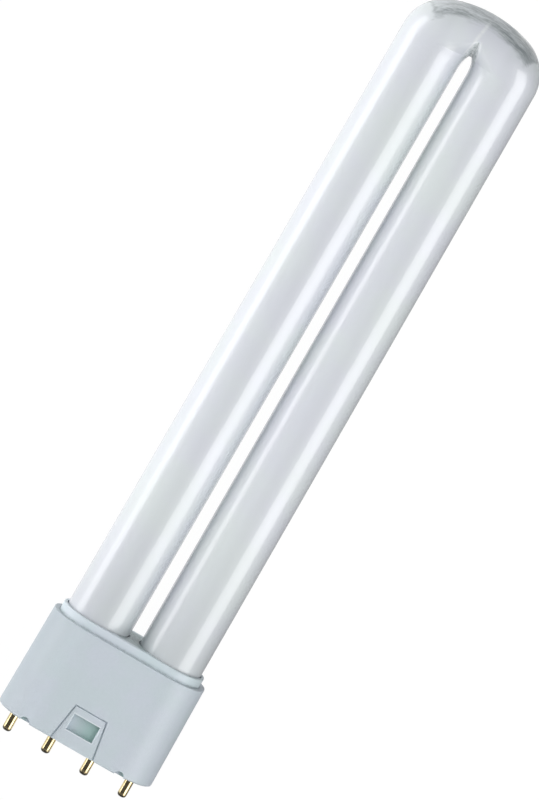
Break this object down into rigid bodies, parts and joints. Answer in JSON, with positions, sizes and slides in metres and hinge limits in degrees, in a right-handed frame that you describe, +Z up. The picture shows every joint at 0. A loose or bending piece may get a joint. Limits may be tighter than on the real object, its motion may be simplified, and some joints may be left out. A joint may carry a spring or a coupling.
{
  "type": "u-shaped fluorescent bulb",
  "caption": "U-shaped fluorescent bulb: a white coated glass tube bent double and set in a flat moulded cap with a row of brass contact pins.",
  "frame": {"origin": "centre of the cap's flat contact face, between the two inner pins", "axes": "+X along the bulb from the contact face to the glass end, +Y across the two legs, +Z up from the broad side it lies on"},
  "size_m": [0.2197, 0.044, 0.0232],
  "materials": {
    "coated_glass": "clear gloss glass with a white phosphor coat inside",
    "cap_plastic": "satin moulded",
    "collar_plastic": "satin moulded",
    "cement": "matt set cement",
    "pin_brass": "bright turned",
    "wire_metal": "drawn wire"
  },
  "bodies": {
    "root": {"discharge_tube": "coated_glass", "base_housing": "cap_plastic", "tube_collar": "collar_plastic", "cement_ring_1": "cement", "cement_ring_2": "cement", "contact_pin_1": "pin_brass", "contact_pin_2": "pin_brass", "contact_pin_3": "pin_brass", "contact_pin_4": "pin_brass", "lead_wire_1": "wire_metal", "lead_wire_2": "wire_metal", "lead_wire_3": "wire_metal", "lead_wire_4": "wire_metal"}
  },
  "joints": []
}
